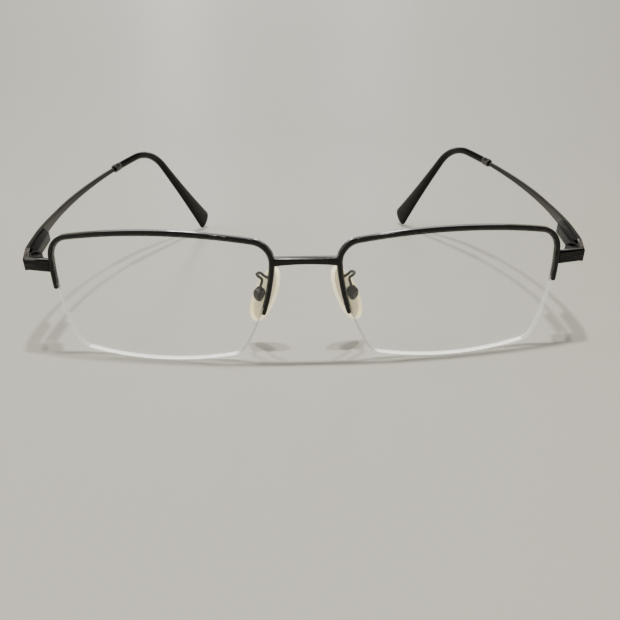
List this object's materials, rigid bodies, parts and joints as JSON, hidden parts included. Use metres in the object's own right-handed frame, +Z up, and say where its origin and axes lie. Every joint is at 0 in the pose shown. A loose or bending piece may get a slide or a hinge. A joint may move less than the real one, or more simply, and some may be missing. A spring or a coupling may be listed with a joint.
{
  "type": "half-rim spectacles",
  "caption": "Half-rim metal spectacles: clear lenses on nylon cords, screwed spring hinges, folding temples with black tips and rocking nose pads.",
  "frame": {"origin": "on the table under the glasses, at the centre of the bounding box in X and Y, at the height that lenses and temple tips stand on", "axes": "+X towards the wearer's left, +Y from the lenses back along the temples, +Z up; the lenses face -Y"},
  "size_m": [0.1448, 0.1361, 0.0376],
  "materials": {
    "frame_metal": "dark gunmetal lacquer, satin",
    "hardware_steel": "bright turned steel",
    "ferrule_metal": "polished dark nickel",
    "lens_clear": "clear coated lens",
    "cord_nylon": "clear nylon monofilament",
    "liner_nylon": "dark nylon liner",
    "tip_acetate": "black gloss acetate",
    "pad_silicone": "clear, slightly yellowed silicone",
    "pad_core": "translucent hard core",
    "washer_nylon": "white nylon"
  },
  "bodies": {
    "front": {"bridge": "frame_metal", "rim_bar_left": "frame_metal", "rim_liner_left": "liner_nylon", "lens_left": "lens_clear", "lens_cord_left": "cord_nylon", "pad_arm_left": "frame_metal", "pad_box_left": "frame_metal", "pad_screw_left": "hardware_steel", "endpiece_left": "frame_metal", "front_hinge_left": "frame_metal", "hinge_screw_left": "hardware_steel", "rim_bar_right": "frame_metal", "rim_liner_right": "liner_nylon", "lens_right": "lens_clear", "lens_cord_right": "cord_nylon", "pad_arm_right": "frame_metal", "pad_box_right": "frame_metal", "pad_screw_right": "hardware_steel", "endpiece_right": "frame_metal", "front_hinge_right": "frame_metal", "hinge_screw_right": "hardware_steel"},
    "left_washers": {"hinge_washers_left": "washer_nylon"},
    "left_carriage": {"hinge_carriage_left": "hardware_steel", "hinge_spring_left": "hardware_steel"},
    "left_temple": {"temple_arm_left": "frame_metal", "spring_housing_left": "frame_metal", "spring_seat_left": "hardware_steel", "ferrule_left": "ferrule_metal", "temple_tip_left": "tip_acetate"},
    "left_pad": {"nose_pad_left": "pad_silicone", "pad_insert_left": "pad_core"},
    "right_washers": {"hinge_washers_right": "washer_nylon"},
    "right_carriage": {"hinge_carriage_right": "hardware_steel", "hinge_spring_right": "hardware_steel"},
    "right_temple": {"temple_arm_right": "frame_metal", "spring_housing_right": "frame_metal", "spring_seat_right": "hardware_steel", "ferrule_right": "ferrule_metal", "temple_tip_right": "tip_acetate"},
    "right_pad": {"nose_pad_right": "pad_silicone", "pad_insert_right": "pad_core"}
  },
  "joints": [
    {"name": "left_fold", "type": "hinge", "parent": "front", "child": "left_washers", "pos_m": [0.0679, -0.05338, 0.02375], "axis": [0, -0.1547, 0.988], "range_deg": [0, 82]},
    {"name": "left_flex", "type": "hinge", "parent": "left_washers", "child": "left_temple", "pos_m": [0.07189, -0.05359, 0.02372], "axis": [0, 0.1547, -0.988], "range_deg": [0, 8], "stiffness_Nm_per_rad": 0.08, "springref_deg": -11.46},
    {"name": "left_slide", "type": "slide", "parent": "left_temple", "child": "left_carriage", "axis": [-0.0541, -0.9865, -0.1545], "range_m": [0, 0.00056], "deforming": ["hinge_spring_left"]},
    {"name": "left_pad_rock", "type": "hinge", "parent": "front", "child": "left_pad", "pos_m": [0.01187, -0.05809, 0.01523], "axis": [0.5946, 0.7547, 0.2773], "range_deg": [-8, 8]},
    {"name": "right_fold", "type": "hinge", "parent": "front", "child": "right_washers", "pos_m": [-0.0679, -0.05338, 0.02375], "axis": [0, 0.1547, -0.988], "range_deg": [0, 75]},
    {"name": "right_flex", "type": "hinge", "parent": "right_washers", "child": "right_temple", "pos_m": [-0.07189, -0.05359, 0.02372], "axis": [0, -0.1547, 0.988], "range_deg": [0, 8], "stiffness_Nm_per_rad": 0.08, "springref_deg": -11.46},
    {"name": "right_slide", "type": "slide", "parent": "right_temple", "child": "right_carriage", "axis": [0.0541, -0.9865, -0.1545], "range_m": [0, 0.00056], "deforming": ["hinge_spring_right"]},
    {"name": "right_pad_rock", "type": "hinge", "parent": "front", "child": "right_pad", "pos_m": [-0.01187, -0.05809, 0.01523], "axis": [0.5946, -0.7547, -0.2773], "range_deg": [-8, 8]}
  ],
  "couplings": [
    {"joint": "left_slide", "follows": "left_flex", "m_per_rad": 0.004},
    {"joint": "right_slide", "follows": "right_flex", "m_per_rad": 0.004}
  ]
}
